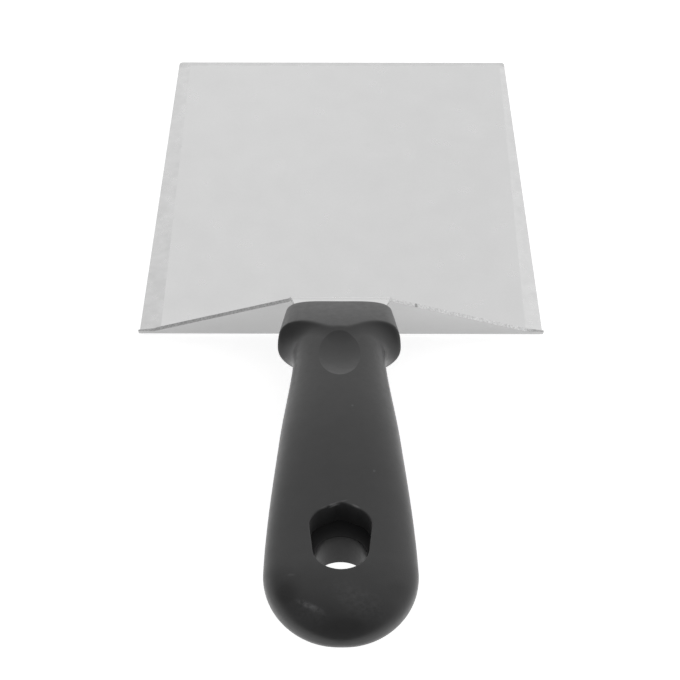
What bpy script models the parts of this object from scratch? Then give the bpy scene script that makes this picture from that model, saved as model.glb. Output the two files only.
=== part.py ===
"""Square kitchen spatula: a folded stainless blade and the handle moulded round its tang.

The blade is one sheet. It lies flat on z = 0 with its front edge toward +Y, it is folded up along its rear
edge into a steep back wall, and the top of that wall is folded back into the tang. The handle runs toward -Y
and rises to its butt. The origin is at the middle of the flat underside. All lengths are in metres.
"""

import math

import bmesh
import bpy
from mathutils import Matrix, Vector

# Sheet and flat face
SHEET = 0.0011  # thickness of the steel
BLADE_WIDTH = 0.110
BLADE_LENGTH = 0.125  # front edge to the outside of the rear fold
CORNER_RADIUS = 0.0013  # the two front corners

# Bevels ground on the upper face before the sheet is folded, each from its edge inward
EDGE_THICKNESS = 0.0005  # steel left at the ground edges
FRONT_BEVEL = 0.0029
LEFT_BEVEL_FRONT = 0.0039
LEFT_BEVEL_REAR = 0.0058
RIGHT_BEVEL_FRONT = 0.0018
RIGHT_BEVEL_REAR = 0.0046

# Back wall
WALL_ANGLE = math.radians(78.0)  # from the flat face
WALL_HEIGHT = 0.01915  # underside of the flat face to the top of the wall's fold
WALL_TOP_WIDTH = 0.0269
FOLD_RADIUS = 0.0010  # inside radius of both folds
STUB_HEIGHT = 0.0007  # level strip left above the fold at the two rear corners
STUB_LENGTH = 0.0043

# Tang, measured back from the handle's front face
HANDLE_PITCH = math.radians(11.0)  # rise of tang and handle toward the butt
TANG_NECK = 0.0051  # bare tang ahead of that face, from the wall's fold
TANG_FACE_WIDTH = 0.0220  # where it enters the handle
TANG_WIDTH = 0.0150  # inside the grip
TANG_TAPER = 0.0160  # where it has come down to that width
TANG_DEPTH = 0.0600  # where it ends
TANG_CLEARANCE = 0.0003  # between the steel and the plastic, all round
KEY_HOLE_RADIUS = 0.0032  # the plastic keys through the tang here
KEY_HOLE_PLACES = (0.0260, 0.0460)

# Handle, measured along its own axis from its front face
# Each section is half its width, then its heights above and below the tang's middle
HANDLE_LENGTH = 0.1073
FRONT_EDGE_RADIUS = 0.0007
GUARD_DEPTH = 0.0141  # front face to the widest part of the guard
GUARD_FRONT = (0.0130, 0.0035, 0.0068)
GUARD_RIM = (0.01537, 0.0065, 0.0085)
GUARD_BULGE = 0.0008  # how its top curves in the side view
GUARD_SQUARENESS = (6.6, 2.35)  # at the front and at the rim: 2 is an oval, higher is more of a box
GUARD_CORNER_RADIUS = 0.0035  # of its two front corners, in plan
SCOOP_RADIUS = 0.0076  # hollow behind the guard, at the sides
SCOOP_STEEPEST = 0.93  # share of that radius after which the hollow goes straight on up to the rim
SCOOP_SHARE_ABOVE = 0.135  # how much of that hollow is left on top of the neck
SCOOP_SHARE_BELOW = 0.35
SCOOP_ADVANCE = 0.0051  # how much nearer the front it starts on the neck's two shoulders
SCOOP_SHOULDER = math.radians(33.0)  # direction of the shoulders from the axis, up from the side
SCOOP_SPREAD = math.radians(48.0)  # how far round the neck that advance fades out
RIM_SOFTNESS = 60.0  # higher is a crisper rim

NECK_PLACE = 0.0218
NECK = (0.01126, 0.0062, 0.0066)
NECK_FLARE = 0.78  # slope there, against the straight line from neck to swell
GRIP_PLACE = 0.0510
GRIP = (0.01363, 0.0069, 0.0076)
GRIP_FLARE = 1.3
SWELL_FROM_END = 0.0172
SWELL = (0.01553, 0.0056, 0.0066)
GRIP_SQUARENESS = 2.45
END_FULLNESS = 2.0  # side view of the butt: 2 is an ellipse, higher is blunter

# Thumb dimple on top
DIMPLE_PLACE = 0.0254
DIMPLE_LENGTH = 0.0172
DIMPLE_WIDTH = 0.0100
DIMPLE_DEPTH = 0.0009
DIMPLE_BALL = 0.0040  # half height of the squashed ball that makes it

# Hanging hole: a round bore from below and a pointed pocket from above
HOLE_FROM_END = 0.0216
BORE_RADIUS = 0.00535
POCKET_FLOOR = 0.0010  # height of the step between pocket and bore, above the tang's middle
POCKET_REAR_RADIUS = 0.0057
POCKET_REAR_SHIFT = 0.0020  # rear arc's centre, behind the bore's
POCKET_SHOULDER_RADIUS = 0.0045
POCKET_SHOULDER_OUT = 0.0018
POCKET_SHOULDER_SHIFT = -0.0043
POCKET_POINT_RADIUS = 0.0025
POCKET_POINT_SHIFT = -0.0077

# How finely the shapes are drawn
ROUND_STEPS = 40  # sides of a full round
SECTION_STEPS = 48  # points round a handle section
CORNER_STEPS = 6
FOLD_STEPS = 6
BEVEL_STEPS = 8
FRONT_EDGE_STEPS = 3
END_STEPS = 10
RIM_GAP = 0.00045  # between handle sections at the guard's rim
NECK_GAP = 0.0012
CORNER_GAP = 0.0008  # round the guard's front corners
GUARD_GAP = 0.0020
GRIP_GAP = 0.0052
RIM_AHEAD = 0.0050  # the closely set sections start this far ahead of the rim
RIM_BEHIND = 0.0030
NECK_BEHIND = 0.0060  # and the looser ones go on to this far behind the neck
SHARP_ANGLE = math.radians(40.0)


def clear_scene():
    for thing in list(bpy.data.objects):
        bpy.data.objects.remove(thing, do_unlink=True)


def collection(name):
    group = bpy.data.collections.new(name)
    bpy.context.scene.collection.children.link(group)
    return group


def material(name, colour, metallic, roughness):
    made = bpy.data.materials.new(name)
    made.use_nodes = True
    shader = made.node_tree.nodes["Principled BSDF"]
    shader.inputs["Base Color"].default_value = (*colour, 1.0)
    shader.inputs["Metallic"].default_value = metallic
    shader.inputs["Roughness"].default_value = roughness
    made.diffuse_color = (*colour, 1.0)
    return made


def object_from(mesh_builder, name, group):
    mesh = bpy.data.meshes.new(name)
    mesh_builder.to_mesh(mesh)
    mesh_builder.free()
    made = bpy.data.objects.new(name, mesh)
    group.objects.link(made)
    return made


def mark_cutter(cutter):
    cutter.hide_render = True
    cutter.display_type = "WIRE"
    return cutter


def cut(target, cutter):
    step = target.modifiers.new("cut " + cutter.name, "BOOLEAN")
    step.operation = "DIFFERENCE"
    step.solver = "EXACT"
    step.object = cutter


def prism(points, bottom, top):
    """Closed block from a flat outline, upright between two heights."""
    block = bmesh.new()
    base = block.faces.new([block.verts.new((x, y, bottom)) for x, y in points])
    lifted = bmesh.ops.extrude_face_region(block, geom=[base])["geom"]
    rise = Vector((0.0, 0.0, top - bottom))
    bmesh.ops.translate(block, verts=[v for v in lifted if isinstance(v, bmesh.types.BMVert)], vec=rise)
    bmesh.ops.recalc_face_normals(block, faces=block.faces)
    return block


def round_cutter(name, radius, place, bottom, top, group):
    """Upright round cutter at a place along the handle."""
    block = bmesh.new()
    bmesh.ops.create_cone(block, cap_ends=True, segments=ROUND_STEPS, radius1=radius, radius2=radius,
                          depth=top - bottom, matrix=Matrix.Translation((0.0, -place, (top + bottom) / 2)))
    return mark_cutter(object_from(block, name, group))


def wrap_circles(circles, steps):
    """Outline of a band stretched round circles, each given as x, y, radius."""
    outline = []
    for index in range(steps):
        turn = 2.0 * math.pi * (index + 0.5) / steps
        out = Vector((math.cos(turn), math.sin(turn)))
        x, y, radius = max(circles, key=lambda c: c[0] * out.x + c[1] * out.y + c[2])
        outline.append((x + radius * out.x, y + radius * out.y))
    return outline


# The sheet's middle surface, followed from the flat face to the tang

MIDDLE_RADIUS = FOLD_RADIUS + SHEET / 2
REAR_OUTSIDE = -BLADE_LENGTH / 2
# The fold's arc starts short of the sharp corner that its two outer faces would make
FOLD_START = REAR_OUTSIDE + (FOLD_RADIUS + SHEET) * math.tan(WALL_ANGLE / 2)
TOP_TURN = WALL_ANGLE - HANDLE_PITCH
# How far a bevel's cutter passes the edges that it cuts, and what share of the fold's radius it rises into
CUTTER_OVERRUN = FOLD_RADIUS
CUTTER_HEADROOM = 0.8


def arc(start, heading, turn, radius):
    """Points along an arc in the side view, from a start point; heading is the rise toward -Y."""
    side = 1.0 if turn > 0 else -1.0
    centre = start + side * radius * Vector((math.sin(heading), math.cos(heading)))
    points = []
    for index in range(FOLD_STEPS + 1):
        angle = heading + turn * index / FOLD_STEPS
        points.append(centre - side * radius * Vector((math.sin(angle), math.cos(angle))))
    return points


def along(start, heading, length):
    return start + length * Vector((-math.cos(heading), math.sin(heading)))


def side_path():
    """Side view of the sheet's middle surface through its two folds, as (y, z) points."""
    lower = arc(Vector((FOLD_START, SHEET / 2)), 0.0, WALL_ANGLE, MIDDLE_RADIUS)
    fold_rise = MIDDLE_RADIUS * (math.cos(HANDLE_PITCH) - math.cos(WALL_ANGLE))
    wall_rise = WALL_HEIGHT - SHEET / 2 - lower[-1].y - fold_rise
    wall_length = wall_rise / math.sin(WALL_ANGLE)
    upper = arc(along(lower[-1], WALL_ANGLE, wall_length), WALL_ANGLE, -TOP_TURN, MIDDLE_RADIUS)
    return lower, upper


LOWER_FOLD, UPPER_FOLD = side_path()
HANDLE_FRONT = along(UPPER_FOLD[-1], HANDLE_PITCH, TANG_NECK)
# Handle space: origin in the tang's middle at the handle's front face, -Y along the grip, +Z out of its top
HANDLE_SPACE = (Matrix.Translation((0.0, HANDLE_FRONT.x, HANDLE_FRONT.y))
                @ Matrix.Rotation(-HANDLE_PITCH, 4, "X"))


def tang_half_widths(clearance):
    """Half widths along the hidden tang as (place, half width), grown by a clearance."""
    lead = math.hypot(TANG_TAPER, (TANG_FACE_WIDTH - TANG_WIDTH) / 2) / TANG_TAPER
    return ((0.0, TANG_FACE_WIDTH / 2 + clearance * lead),
            (TANG_TAPER, TANG_WIDTH / 2 + clearance),
            (TANG_DEPTH + clearance, TANG_WIDTH / 2 + clearance))


def build_blade(group, cutters, finish):
    sheet = bmesh.new()

    def row(y, z, half):
        return [sheet.verts.new((-half, y, z)), sheet.verts.new((half, y, z))]

    def strip(first, second):
        sheet.faces.new((first[0], first[1], second[1], second[0]))

    half_width = BLADE_WIDTH / 2
    middle = SHEET / 2
    front = BLADE_LENGTH / 2 - CORNER_RADIUS
    edge = []
    for side in (-1.0, 1.0):
        for index in range(CORNER_STEPS + 1):
            turn = math.pi / 2 * index / CORNER_STEPS
            if side > 0:
                turn = math.pi / 2 - turn
            x = side * (half_width - CORNER_RADIUS + CORNER_RADIUS * math.cos(turn))
            edge.append(sheet.verts.new((x, front + CORNER_RADIUS * math.sin(turn), middle)))
    last = row(LOWER_FOLD[0].x, LOWER_FOLD[0].y, half_width)
    sheet.faces.new((*edge, last[1], last[0]))
    for point in LOWER_FOLD[1:]:
        now = row(point.x, point.y, half_width)
        strip(last, now)
        last = now

    stub_top = along(LOWER_FOLD[-1], WALL_ANGLE, STUB_HEIGHT)
    stub = row(stub_top.x, stub_top.y, half_width)
    shoulder = row(stub_top.x, stub_top.y, half_width - STUB_LENGTH)
    top = row(UPPER_FOLD[0].x, UPPER_FOLD[0].y, WALL_TOP_WIDTH / 2)
    sheet.faces.new((last[0], last[1], stub[1], shoulder[1], top[1], top[0], shoulder[0], stub[0]))

    fold_length = MIDDLE_RADIUS * TOP_TURN
    narrowing = (WALL_TOP_WIDTH - TANG_FACE_WIDTH) / 2 / (fold_length + TANG_NECK)
    last = top
    for index, point in enumerate(UPPER_FOLD[1:], start=1):
        now = row(point.x, point.y, WALL_TOP_WIDTH / 2 - narrowing * fold_length * index / FOLD_STEPS)
        strip(last, now)
        last = now
    for place, half in tang_half_widths(0.0):
        point = along(UPPER_FOLD[-1], HANDLE_PITCH, TANG_NECK + place)
        now = row(point.x, point.y, half)
        strip(last, now)
        last = now
    bmesh.ops.recalc_face_normals(sheet, faces=sheet.faces)
    blade = object_from(sheet, "blade", group)
    thicken = blade.modifiers.new("sheet", "SOLIDIFY")
    thicken.thickness = SHEET
    thicken.offset = 0.0
    thicken.use_even_offset = True

    for cutter in bevel_cutters(cutters):
        cut(blade, cutter)
    for index, place in enumerate(KEY_HOLE_PLACES):
        name = f"tang_hole_{index + 1}"
        cutter = round_cutter(name, KEY_HOLE_RADIUS, place, -KEY_HOLE_RADIUS, KEY_HOLE_RADIUS, cutters)
        cutter.matrix_world = HANDLE_SPACE
        cut(blade, cutter)
    blade.data.materials.append(finish)
    return blade


def bevel_cutters(group):
    """One block per ground edge. The side ones follow the sheet through its fold and a little up the wall."""
    up = Vector((0.0, 0.0, 1.0))
    front = BLADE_LENGTH / 2
    rear = LOWER_FOLD[0].x
    blocks = []
    for side, name, front_width, rear_width in ((-1.0, "left_bevel", LEFT_BEVEL_FRONT, LEFT_BEVEL_REAR),
                                                (1.0, "right_bevel", RIGHT_BEVEL_FRONT, RIGHT_BEVEL_REAR)):
        x = side * BLADE_WIDTH / 2
        stations = [(Vector((x, front + CUTTER_OVERRUN, 0.0)), up, front_width)]
        for index in range(BEVEL_STEPS):
            share = index / BEVEL_STEPS
            width = front_width + (rear_width - front_width) * share
            stations.append((Vector((x, front + (rear - front) * share, 0.0)), up, width))
        wall_end = along(LOWER_FOLD[-1], WALL_ANGLE, rear_width)
        for index, middle in enumerate((*LOWER_FOLD, wall_end)):
            turn = WALL_ANGLE * min(index / FOLD_STEPS, 1.0)
            inside = Vector((0.0, math.sin(turn), math.cos(turn)))
            underside = Vector((x, middle.x, middle.y)) - inside * SHEET / 2
            stations.append((underside, inside, rear_width))
        blocks.append(bevel_cutter(name, stations, Vector((-side, 0.0, 0.0)), group))
    ends = [Vector((side * (BLADE_WIDTH / 2 + CUTTER_OVERRUN), front, 0.0)) for side in (-1.0, 1.0)]
    stations = [(end, up, FRONT_BEVEL) for end in ends]
    blocks.append(bevel_cutter("front_bevel", stations, Vector((0.0, -1.0, 0.0)), group))
    return blocks


def bevel_cutter(name, stations, inward, group):
    """Block that grinds a bevel, with its top inside the fold's inner radius so that it can follow the fold.

    Each station is a point below the edge, the sheet's upward direction and the bevel's width.
    """
    block = bmesh.new()
    rings = []
    top = SHEET + CUTTER_HEADROOM * FOLD_RADIUS
    for origin, up, width in stations:
        slope = (SHEET - EDGE_THICKNESS) / width
        profile = ((-CUTTER_OVERRUN, EDGE_THICKNESS - slope * CUTTER_OVERRUN),
                   (width + CUTTER_OVERRUN, SHEET + slope * CUTTER_OVERRUN),
                   (width + CUTTER_OVERRUN, top),
                   (-CUTTER_OVERRUN, top))
        rings.append([block.verts.new(origin + inward * reach + up * height) for reach, height in profile])
    for ring, following in zip(rings, rings[1:]):
        for corner in range(len(ring)):
            after = (corner + 1) % len(ring)
            block.faces.new((ring[corner], ring[after], following[after], following[corner]))
    block.faces.new(rings[0])
    block.faces.new(rings[-1])
    bmesh.ops.recalc_face_normals(block, faces=block.faces)
    return mark_cutter(object_from(block, name, group))


# The handle's outside: at each place along it, a guard section and a grip section, of which the smaller shows

SWELL_PLACE = HANDLE_LENGTH - SWELL_FROM_END


def blend(place, first_place, first, first_slope, second_place, second, second_slope):
    """Smooth curve between two values with a slope at each end."""
    span = second_place - first_place
    t = (place - first_place) / span
    return ((2 * t**3 - 3 * t**2 + 1) * first + (t**3 - 2 * t**2 + t) * span * first_slope
            + (3 * t**2 - 2 * t**3) * second + (t**3 - t**2) * span * second_slope)


def grip_sizes(place):
    """Half width and heights above and below the tang, of the grip alone."""
    if place >= SWELL_PLACE:
        share = min((place - SWELL_PLACE) / SWELL_FROM_END, 1.0)
        plan = math.sqrt(max(1.0 - share**2, 0.0))
        side = max(1.0 - share**END_FULLNESS, 0.0) ** (1.0 / END_FULLNESS)
        return SWELL[0] * plan, SWELL[1] * side, SWELL[2] * side
    sizes = []
    for neck, grip, swell in zip(NECK, GRIP, SWELL):
        slope = (swell - neck) / (SWELL_PLACE - NECK_PLACE)
        if place >= GRIP_PLACE:
            sizes.append(blend(place, GRIP_PLACE, grip, slope * GRIP_FLARE, SWELL_PLACE, swell, 0.0))
        else:
            at = max(place, NECK_PLACE)
            flare = slope * GRIP_FLARE
            sizes.append(blend(at, NECK_PLACE, neck, slope * NECK_FLARE, GRIP_PLACE, grip, flare))
    return tuple(sizes)


def scoop(turn, place):
    """How far the hollow behind the guard has risen off the neck: an arc, then straight on up."""
    from_shoulder = abs(math.asin(math.sin(turn)) - SCOOP_SHOULDER) / SCOOP_SPREAD
    advance = SCOOP_ADVANCE * math.cos(math.pi / 2 * min(from_shoulder, 1.0)) ** 2
    back = NECK_PLACE - advance - place
    if back <= 0:
        return 0.0
    steep = SCOOP_STEEPEST * SCOOP_RADIUS
    rise = SCOOP_RADIUS - math.sqrt(SCOOP_RADIUS**2 - min(back, steep) ** 2)
    if back > steep:
        rise += (back - steep) * steep / math.sqrt(SCOOP_RADIUS**2 - steep**2)
    share = SCOOP_SHARE_ABOVE if math.sin(turn) >= 0 else SCOOP_SHARE_BELOW
    return rise * (math.cos(turn) ** 2 + share * math.sin(turn) ** 2)


def guard_sizes(place):
    """Half width and heights of the guard alone, and its squareness."""
    share = place / GUARD_DEPTH
    half_width, above, below = (front + (rim - front) * share for front, rim in zip(GUARD_FRONT, GUARD_RIM))
    above += GUARD_BULGE * (share * (1.0 - share) if share < 1.0 else 1.0 - share)
    inside = max(GUARD_CORNER_RADIUS - place, 0.0)
    half_width -= GUARD_CORNER_RADIUS - math.sqrt(GUARD_CORNER_RADIUS**2 - inside**2)
    front, rim = GUARD_SQUARENESS
    return (half_width, above, below), front + (rim - front) * min(share, 1.0)


def section_radius(turn, sizes, squareness):
    """Distance from the axis to a squared oval, in one direction round it."""
    half_width, above, below = sizes
    height = above if math.sin(turn) >= 0 else below
    across = abs(math.cos(turn)) / half_width
    up = abs(math.sin(turn)) / height
    return (across**squareness + up**squareness) ** (-1.0 / squareness)


def handle_radius(turn, place):
    """The smaller of grip and guard in one direction, with the crest between them a little rounded."""
    grip = section_radius(turn, grip_sizes(place), GRIP_SQUARENESS) + scoop(turn, place)
    guard = section_radius(turn, *guard_sizes(place))
    if place < FRONT_EDGE_RADIUS:
        guard -= FRONT_EDGE_RADIUS - math.sqrt(FRONT_EDGE_RADIUS**2 - (FRONT_EDGE_RADIUS - place) ** 2)
    return (guard**-RIM_SOFTNESS + grip**-RIM_SOFTNESS) ** (-1.0 / RIM_SOFTNESS)


def spread(first, last, gap):
    """Even places from first up to but not including last, no further apart than the gap."""
    count = math.ceil((last - first) / gap)
    return [first + (last - first) * index / count for index in range(count)]


def handle_places():
    rim_start = GUARD_DEPTH - RIM_AHEAD
    rim_end = GUARD_DEPTH + RIM_BEHIND
    neck_end = NECK_PLACE + NECK_BEHIND
    quarter = [math.pi / 2 * index / FRONT_EDGE_STEPS for index in range(FRONT_EDGE_STEPS)]
    places = [FRONT_EDGE_RADIUS * (1 - math.cos(turn)) for turn in quarter]
    places += spread(FRONT_EDGE_RADIUS, GUARD_CORNER_RADIUS, CORNER_GAP)
    places += spread(GUARD_CORNER_RADIUS, rim_start, GUARD_GAP)
    places += spread(rim_start, rim_end, RIM_GAP)
    places += spread(rim_end, neck_end, NECK_GAP)
    places += spread(neck_end, SWELL_PLACE, GRIP_GAP)
    quarter = [math.pi / 2 * index / END_STEPS for index in range(END_STEPS)]
    places += [SWELL_PLACE + SWELL_FROM_END * math.sin(turn) for turn in quarter]
    return places


def build_handle(group, cutters, finish):
    loft = bmesh.new()
    rings = []
    for place in handle_places():
        ring = []
        for index in range(SECTION_STEPS):
            turn = 2.0 * math.pi * index / SECTION_STEPS
            radius = handle_radius(turn, place)
            ring.append(loft.verts.new((radius * math.cos(turn), -place, radius * math.sin(turn))))
        rings.append(ring)
    tip = loft.verts.new((0.0, -HANDLE_LENGTH, 0.0))
    for ring, following in zip(rings, rings[1:]):
        for index in range(SECTION_STEPS):
            after = (index + 1) % SECTION_STEPS
            loft.faces.new((ring[index], ring[after], following[after], following[index]))
    for index in range(SECTION_STEPS):
        loft.faces.new((rings[-1][index], rings[-1][(index + 1) % SECTION_STEPS], tip))
    loft.faces.new(rings[0])
    bmesh.ops.recalc_face_normals(loft, faces=loft.faces)
    handle = object_from(loft, "handle", group)
    handle.matrix_world = HANDLE_SPACE
    handle.data.shade_smooth()
    handle.data.set_sharp_from_angle(angle=SHARP_ANGLE)

    for cutter in (slot_cutter(cutters), *hole_cutters(cutters), dimple_cutter(cutters)):
        cutter.matrix_world = HANDLE_SPACE @ cutter.matrix_basis
        cut(handle, cutter)
    handle.data.materials.append(finish)
    return handle


def slot_cutter(group):
    """The space round the hidden tang, less the two keys of plastic that pass through it."""
    widths = tang_half_widths(TANG_CLEARANCE)
    outline = [(half, -place) for place, half in widths]
    outline = [(outline[0][0], TANG_NECK)] + outline
    outline += [(-x, y) for x, y in reversed(outline)]
    half_height = SHEET / 2 + TANG_CLEARANCE
    key_radius = KEY_HOLE_RADIUS - TANG_CLEARANCE
    slot = mark_cutter(object_from(prism(outline, -half_height, half_height), "tang_slot", group))
    for index, place in enumerate(KEY_HOLE_PLACES):
        key = round_cutter(f"key_{index + 1}", key_radius, place, -key_radius, key_radius, group)
        key.matrix_world = HANDLE_SPACE
        cut(slot, key)
    return slot


def hole_cutters(group):
    centre = HANDLE_LENGTH - HOLE_FROM_END
    clear = 2 * max(*GRIP[1:], *SWELL[1:])
    bore = round_cutter("hanging_bore", BORE_RADIUS, centre, -clear, clear, group)
    circles = [(0.0, -centre - POCKET_REAR_SHIFT, POCKET_REAR_RADIUS),
               (POCKET_SHOULDER_OUT, -centre - POCKET_SHOULDER_SHIFT, POCKET_SHOULDER_RADIUS),
               (-POCKET_SHOULDER_OUT, -centre - POCKET_SHOULDER_SHIFT, POCKET_SHOULDER_RADIUS),
               (0.0, -centre - POCKET_POINT_SHIFT, POCKET_POINT_RADIUS)]
    outline = wrap_circles(circles, ROUND_STEPS)
    pocket = object_from(prism(outline, POCKET_FLOOR, clear), "hanging_pocket", group)
    return bore, mark_cutter(pocket)


def dimple_cutter(group):
    """A squashed ball that sinks into the top of the neck, and meets it at the dimple's length and width."""
    sizes = grip_sizes(DIMPLE_PLACE)
    above = sizes[1]
    half_length = DIMPLE_LENGTH / 2
    ends = (DIMPLE_PLACE - half_length, DIMPLE_PLACE + half_length)
    front_end, rear_end = (handle_radius(math.pi / 2, place) for place in ends)
    tilt = math.atan2(rear_end - front_end, DIMPLE_LENGTH)
    end_depth = DIMPLE_DEPTH + (front_end + rear_end) / 2 - above
    rim_fall = above * (1 - (1 - (DIMPLE_WIDTH / 2 / sizes[0]) ** GRIP_SQUARENESS) ** (1 / GRIP_SQUARENESS))
    ball = bmesh.new()
    bmesh.ops.create_uvsphere(ball, u_segments=ROUND_STEPS, v_segments=ROUND_STEPS // 2, radius=1.0)
    long_share = math.sqrt(1 - (1 - end_depth / DIMPLE_BALL) ** 2)
    wide_share = math.sqrt(1 - (1 - (DIMPLE_DEPTH - rim_fall) / DIMPLE_BALL) ** 2)
    size = (DIMPLE_WIDTH / 2 / wide_share, half_length / long_share, DIMPLE_BALL)
    bmesh.ops.scale(ball, verts=ball.verts, vec=size)
    bmesh.ops.rotate(ball, verts=ball.verts, matrix=Matrix.Rotation(-tilt, 3, "X"))
    shift = (0.0, -DIMPLE_PLACE, above + DIMPLE_BALL - DIMPLE_DEPTH)
    bmesh.ops.translate(ball, verts=ball.verts, vec=shift)
    return mark_cutter(object_from(ball, "thumb_dimple", group))


def main():
    clear_scene()
    parts = collection("square_kitchen_spatula")
    cutters = collection("cutters")
    steel = material("stainless_steel", (0.62, 0.62, 0.62), 1.0, 0.34)
    plastic = material("black_polypropylene", (0.028, 0.028, 0.029), 0.0, 0.45)
    build_blade(parts, cutters, steel)
    build_handle(parts, cutters, plastic)


main()
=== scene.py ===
import math

import bmesh
import bpy
import numpy as np
from mathutils import Matrix, Vector


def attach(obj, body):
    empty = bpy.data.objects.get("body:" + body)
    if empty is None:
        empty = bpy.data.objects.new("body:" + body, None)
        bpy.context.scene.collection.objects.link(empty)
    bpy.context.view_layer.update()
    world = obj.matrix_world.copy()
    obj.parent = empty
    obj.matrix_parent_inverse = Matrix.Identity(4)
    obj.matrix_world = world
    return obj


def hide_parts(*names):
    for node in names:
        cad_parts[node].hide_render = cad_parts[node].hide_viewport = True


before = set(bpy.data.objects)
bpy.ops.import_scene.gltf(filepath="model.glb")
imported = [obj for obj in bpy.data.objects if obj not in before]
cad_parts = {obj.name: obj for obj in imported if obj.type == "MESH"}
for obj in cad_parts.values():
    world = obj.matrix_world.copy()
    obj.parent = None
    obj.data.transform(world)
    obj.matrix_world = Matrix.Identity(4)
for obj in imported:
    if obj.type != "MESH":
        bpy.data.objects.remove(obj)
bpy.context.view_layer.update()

# Sizes in metres, most of them the same as in the part's source

SHEET = 0.0011
BLADE_WIDTH = 0.110
BLADE_LENGTH = 0.125
CORNER_RADIUS = 0.0013
EDGE_THICKNESS = 0.0005
FRONT_BEVEL = 0.0029
LEFT_BEVEL = (0.0039, 0.0058)  # at the front, at the rear
RIGHT_BEVEL = (0.0018, 0.0046)
WALL_ANGLE = math.radians(78.0)
WALL_HEIGHT = 0.01915
WALL_TOP_WIDTH = 0.0269
FOLD_RADIUS = 0.0010
STUB_HEIGHT = 0.0007  # of the low piece of wall at each rear corner
STUB_LENGTH = 0.0043
WORN_EDGE = 0.00007

HANDLE_PITCH = math.radians(11.0)
TANG_NECK = 0.0051  # its bare length
TANG_FACE_WIDTH = 0.0220
TANG_WIDTH = 0.0150
TANG_TAPER = 0.0160
TANG_DEPTH = 0.0600
TANG_CLEARANCE = 0.0003
SLOT_LIP = 0.0004  # depth in which the slot opens from its mouth to its full width
SLOT_MARGIN = 0.0001  # between the mouth's ends and the front face's rounded corners

HANDLE_LENGTH = 0.1073
FRONT_EDGE_RADIUS = 0.0007
GUARD_DEPTH = 0.0141
# Sections of the handle: half width, height above and below the tang
GUARD_FRONT = (0.01325, 0.0035, 0.0068)
GUARD_RIM = (0.01522, 0.00654, 0.0085)
GUARD_SQUARENESS = (3.95, 3.35, 2.2)  # at the front, above and below at the rim
GUARD_CORNER_RADIUS = 0.0018
GUARD_BULGE = 0.0008  # of its top, in the side view
SCOOP_RADIUS = 0.0072
SCOOP_STEEPEST = 0.93
SCOOP_SHARE_ABOVE = 0.15
SCOOP_SHARE_BELOW = 0.35
SCOOP_ADVANCE = 0.0046  # how much nearer the front it starts on the shoulders
SCOOP_SHOULDER = math.radians(35.0)
SCOOP_SPREAD = math.radians(48.0)
RIM_SOFTNESS = 60.0  # of the guard's crest: the higher, the sharper
NECK_PLACE = 0.0218
NECK = (0.01112, 0.0062, 0.0066)
NECK_FLARE = 0.66
GRIP_PLACE = 0.0510
GRIP = (0.01358, 0.0069, 0.0076)
GRIP_FLARE = 1.05
SWELL_FROM_END = 0.0172
SWELL = (0.01549, 0.0056, 0.0066)
GRIP_SQUARENESS = 2.45
HANDLE_TURN = 0.0075  # sideways per length: the handle sits a little askew on its tang
TURN_PLACE = 0.0630  # where it is still in the middle
END_FULLNESS = (1.93, 2.0)  # of the butt, seen from above and from the side

DIMPLE_PLACE = 0.0254
DIMPLE_LENGTH = 0.0172
DIMPLE_WIDTH = 0.0100
DIMPLE_DEPTH = 0.0009

HOLE_FROM_END = 0.0216
BORE_RADIUS = 0.00535
POCKET_FLOOR = 0.0010
POCKET_ROUNDING = 0.0003
LEDGE_ROUNDING = 0.00018
LOWER_ROUNDING = 0.00015
# Circles that the pocket's outline is stretched round: across, behind the bore's centre, radius
POCKET_CIRCLES = ((0.0, 0.0020, 0.0056), (0.0018, -0.0043, 0.00447), (-0.0018, -0.0043, 0.00447),
                  (0.0, -0.0072, 0.0028))


def quarter(steps):
    """Angles of a quarter turn in even steps, with both its ends."""
    return [math.pi / 2 * index / steps for index in range(steps + 1)]


class Skin:
    """Points and faces of one piece, gathered before they become a mesh."""

    def __init__(self):
        self.points = []
        self.faces = []
        self.finishes = []
        self.creases = []

    def point(self, x, y, z):
        self.points.append((x, y, z))
        return len(self.points) - 1

    def face(self, corners, finish=0):
        self.faces.append(tuple(corners))
        self.finishes.append(finish)

    def band(self, first, second, finish=0):
        """Faces between two closed loops with the same number of points."""
        for index in range(len(first)):
            after = (index + 1) % len(first)
            self.face((first[index], first[after], second[after], second[index]), finish)

    def fan(self, loop, centre):
        """Faces that close a loop toward one point."""
        for index in range(len(loop)):
            self.face((loop[index], loop[(index + 1) % len(loop)], centre))

    def build(self, name, materials, sharp_angle):
        """The piece, shaded smooth but for its creases and the edges that turn more than an angle."""
        mesh = bpy.data.meshes.new(name)
        mesh.from_pydata(self.points, [], self.faces)
        mesh.polygons.foreach_set("material_index", self.finishes)
        loose = bmesh.new()
        loose.from_mesh(mesh)
        bmesh.ops.recalc_face_normals(loose, faces=loose.faces)
        loose.verts.ensure_lookup_table()
        creased = [loose.edges.get((loose.verts[a], loose.verts[b])) for a, b in self.creases]
        loose.edges.index_update()
        creased = [edge.index for edge in creased if edge]
        loose.to_mesh(mesh)
        loose.free()
        mesh.shade_smooth()
        mesh.set_sharp_from_angle(angle=sharp_angle)
        for index in creased:
            mesh.edges[index].use_edge_sharp = True
        for finish in materials:
            mesh.materials.append(finish)
        piece = bpy.data.objects.new(name, mesh)
        bpy.context.scene.collection.objects.link(piece)
        return piece


# Side view of the sheet's middle surface, and where the handle starts on it

MIDDLE_RADIUS = FOLD_RADIUS + SHEET / 2
FOLD_START = -BLADE_LENGTH / 2 + (FOLD_RADIUS + SHEET) * math.tan(WALL_ANGLE / 2)
FOLD_STEPS = 14


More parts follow.
